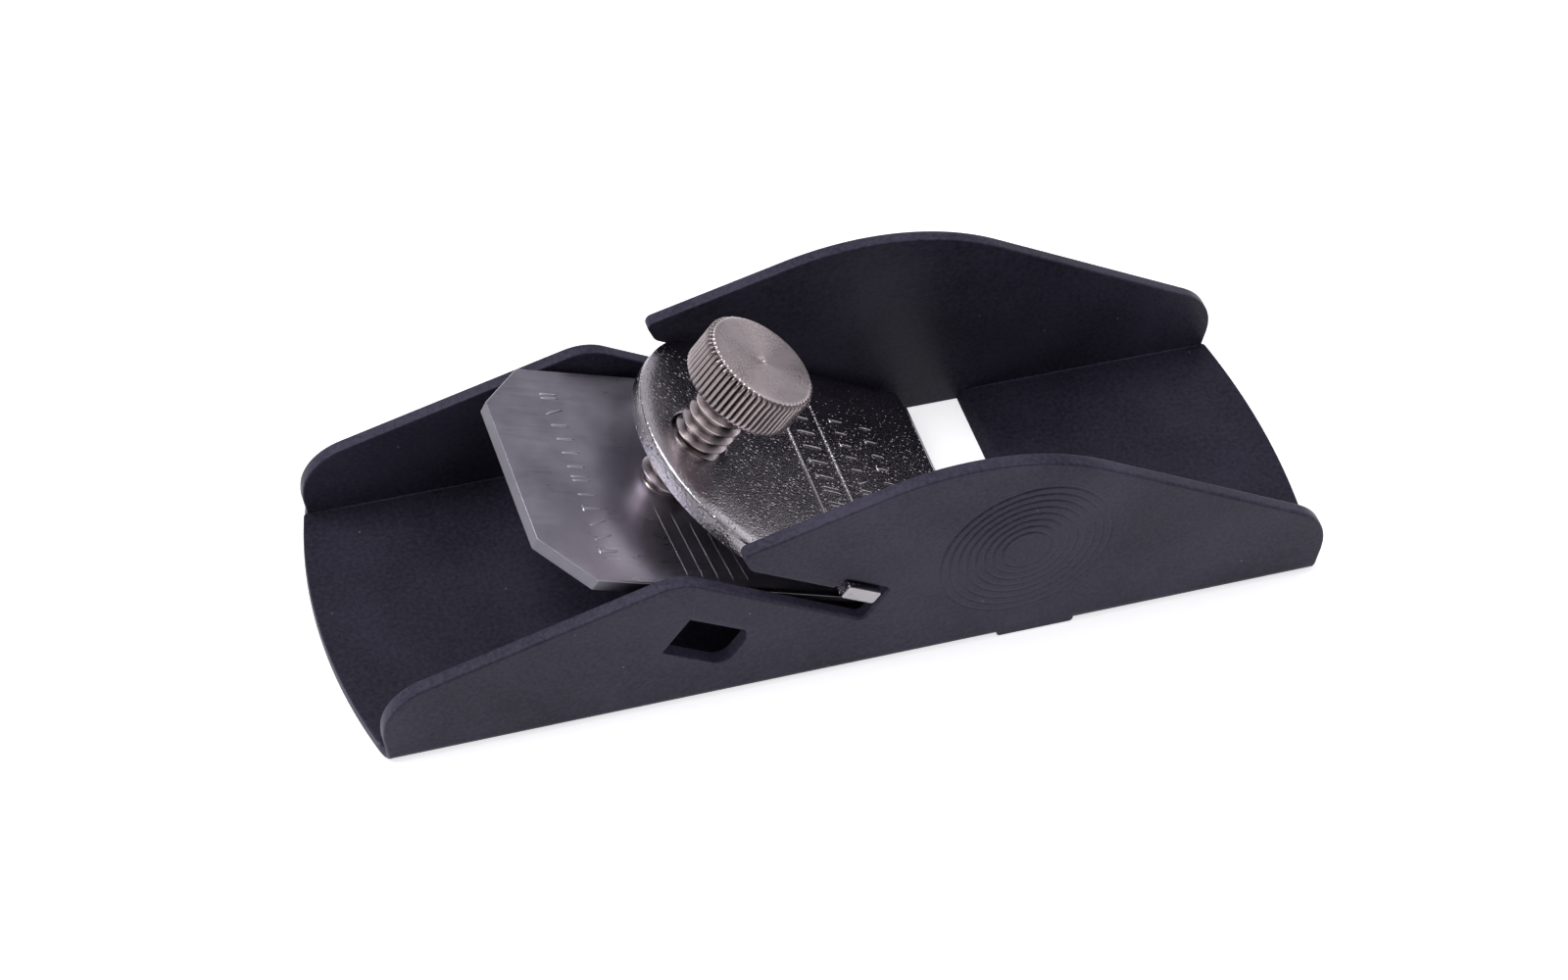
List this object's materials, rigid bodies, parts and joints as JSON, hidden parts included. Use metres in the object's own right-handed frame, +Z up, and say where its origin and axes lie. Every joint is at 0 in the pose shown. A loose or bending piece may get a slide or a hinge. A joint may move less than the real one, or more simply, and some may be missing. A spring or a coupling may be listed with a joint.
{
  "type": "hand plane",
  "caption": "Small trimming plane: a folded sheet-steel channel with a sloping clipped cutter, a cast lever cap hooked into slots, and a knurled thumb screw.",
  "frame": {"origin": "on the underside of the sole, below the middle of the overall box", "axes": "+X points to the toe, along the direction of planing; +Y points to the left cheek seen from behind; +Z points up from the sole"},
  "size_m": [0.0888, 0.0288, 0.0285],
  "materials": {
    "black_paint": "satin black enamel with a faint grain",
    "ground_steel": "ground steel with a dull grey surface",
    "plated_casting": "bright plating over a pebbled casting",
    "nickel_plate": "turned and nickel plated, slightly warm"
  },
  "bodies": {
    "body": {"body": "black_paint"},
    "blade": {"blade": "ground_steel"},
    "lever_cap": {"lever_cap": "plated_casting"},
    "screw_point": {"screw_point": "nickel_plate"},
    "thumb_screw": {"thumb_screw": "nickel_plate"}
  },
  "joints": [
    {"name": "blade_slide", "type": "slide", "parent": "body", "child": "blade", "axis": [0.9367, 0, -0.3502], "range_m": [-0.02, 0.0036]},
    {"name": "cap_tilt", "type": "hinge", "parent": "body", "child": "lever_cap", "pos_m": [0.00034, 0, 0.01019], "axis": [0, -1, 0], "range_deg": [0, 8.4]},
    {"name": "screw_travel", "type": "slide", "parent": "lever_cap", "child": "screw_point", "axis": [0.5, 0, 0.866], "range_m": [0, 0.00211]},
    {"name": "screw_turn", "type": "hinge", "parent": "screw_point", "child": "thumb_screw", "pos_m": [-0.01167, 0, 0.01828], "axis": [0.5, 0, 0.866], "range_deg": [0, 720]}
  ],
  "couplings": [
    {"joint": "screw_turn", "follows": "screw_travel", "rad_per_m": 5936.9},
    {"joint": "cap_tilt", "follows": "screw_travel", "rad_per_m": 69.204}
  ]
}
